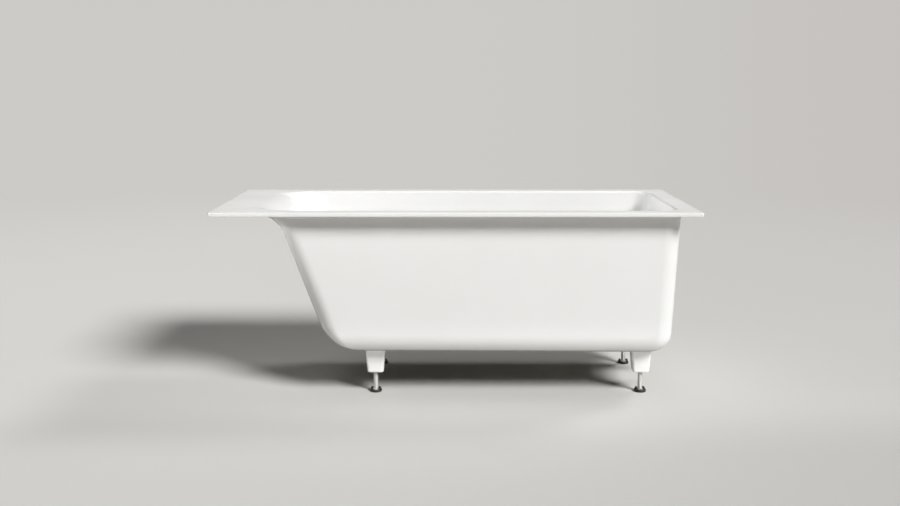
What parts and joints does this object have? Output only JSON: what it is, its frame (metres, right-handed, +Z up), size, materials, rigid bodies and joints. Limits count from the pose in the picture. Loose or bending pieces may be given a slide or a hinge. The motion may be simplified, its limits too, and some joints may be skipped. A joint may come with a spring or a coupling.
{
  "type": "bathtub",
  "caption": "Rectangular cast marble bathtub with a flat overhanging rim, a sloped backrest, tapered legs on levelling feet and a pop-up waste turned by the overflow knob.",
  "frame": {"origin": "on the floor below the middle of the rim", "axes": "+X from the backrest end to the waste end, +Y from the front to the back, +Z up"},
  "size_m": [1.6, 0.7, 0.6405],
  "materials": {
    "cast_marble": "glossy white gel coat",
    "insert_brass": "turned",
    "zinc_steel": "bright zinc plate",
    "pad_plastic": "moulded black",
    "polished_flange": "polished chrome",
    "chrome_plate": "polished chrome",
    "stainless_steel": "turned",
    "seal_rubber": "matte black",
    "white_plastic": "moulded white",
    "cable_sheath": "smooth black"
  },
  "bodies": {
    "tub": {"bathtub": "cast_marble", "leg_inserts": "insert_brass", "waste_flange": "polished_flange", "overflow_face": "polished_flange", "waste_flange_seal": "seal_rubber", "waste_body_seal": "seal_rubber", "lever_seal": "seal_rubber", "overflow_face_seal": "seal_rubber", "overflow_body_seal": "seal_rubber", "pipe_seal_top": "seal_rubber", "pipe_seal_low": "seal_rubber", "waste_body": "white_plastic", "lever_cover": "white_plastic", "overflow_body": "white_plastic", "drum_cap": "white_plastic", "overflow_pipe": "white_plastic", "overflow_elbow": "white_plastic", "pipe_nut_top": "white_plastic", "pipe_nut_low": "white_plastic", "bowden_cable": "cable_sheath"},
    "pad_back_front": {"foot_pad_back_front": "pad_plastic"},
    "bolt_back_front": {"foot_bolt_back_front": "zinc_steel"},
    "pad_back_rear": {"foot_pad_back_rear": "pad_plastic"},
    "bolt_back_rear": {"foot_bolt_back_rear": "zinc_steel"},
    "pad_end_front": {"foot_pad_end_front": "pad_plastic"},
    "bolt_end_front": {"foot_bolt_end_front": "zinc_steel"},
    "pad_end_rear": {"foot_pad_end_rear": "pad_plastic"},
    "bolt_end_rear": {"foot_bolt_end_rear": "zinc_steel"},
    "knob": {"overflow_knob": "chrome_plate", "knob_spindle": "stainless_steel", "cable_drum": "white_plastic"},
    "plug": {"plug_cap": "chrome_plate", "plug_seal": "seal_rubber", "plug_stem": "stainless_steel"},
    "lever": {"lift_lever": "stainless_steel"}
  },
  "joints": [
    {"name": "height_back_front", "type": "slide", "parent": "tub", "child": "pad_back_front", "axis": [0, 0, -1], "range_m": [-0.02, 0.025]},
    {"name": "screw_back_front", "type": "hinge", "parent": "pad_back_front", "child": "bolt_back_front", "pos_m": [-0.2735, -0.175, 0.0025], "axis": [0, 0, 1], "range_deg": [-4500, 3600]},
    {"name": "height_back_rear", "type": "slide", "parent": "tub", "child": "pad_back_rear", "axis": [0, 0, -1], "range_m": [-0.02, 0.025]},
    {"name": "screw_back_rear", "type": "hinge", "parent": "pad_back_rear", "child": "bolt_back_rear", "pos_m": [-0.2735, 0.175, 0.0025], "axis": [0, 0, 1], "range_deg": [-4500, 3600]},
    {"name": "height_end_front", "type": "slide", "parent": "tub", "child": "pad_end_front", "axis": [0, 0, -1], "range_m": [-0.02, 0.025]},
    {"name": "screw_end_front", "type": "hinge", "parent": "pad_end_front", "child": "bolt_end_front", "pos_m": [0.6345, -0.175, 0.0025], "axis": [0, 0, 1], "range_deg": [-4500, 3600]},
    {"name": "height_end_rear", "type": "slide", "parent": "tub", "child": "pad_end_rear", "axis": [0, 0, -1], "range_m": [-0.02, 0.025]},
    {"name": "screw_end_rear", "type": "hinge", "parent": "pad_end_rear", "child": "bolt_end_rear", "pos_m": [0.6345, 0.175, 0.0025], "axis": [0, 0, 1], "range_deg": [-4500, 3600]},
    {"name": "knob_turn", "type": "hinge", "parent": "tub", "child": "knob", "pos_m": [0.74601, 0, 0.5555], "axis": [0.9988, 0, -0.0489], "range_deg": [0, 90]},
    {"name": "plug_lift", "type": "slide", "parent": "tub", "child": "plug", "axis": [0, 0, 1], "range_m": [0, 0.009]},
    {"name": "lever_tilt", "type": "hinge", "parent": "tub", "child": "lever", "pos_m": [0.62, 0, 0.1101], "axis": [0, 1, 0], "range_deg": [0, 24.3]}
  ],
  "couplings": [
    {"joint": "screw_back_front", "follows": "height_back_front", "rad_per_m": -3141.6},
    {"joint": "screw_back_rear", "follows": "height_back_rear", "rad_per_m": -3141.6},
    {"joint": "screw_end_front", "follows": "height_end_front", "rad_per_m": -3141.6},
    {"joint": "screw_end_rear", "follows": "height_end_rear", "rad_per_m": -3141.6},
    {"joint": "plug_lift", "follows": "knob_turn", "m_per_rad": 0.0057295},
    {"joint": "lever_tilt", "follows": "knob_turn", "ratio": 0.2691}
  ]
}
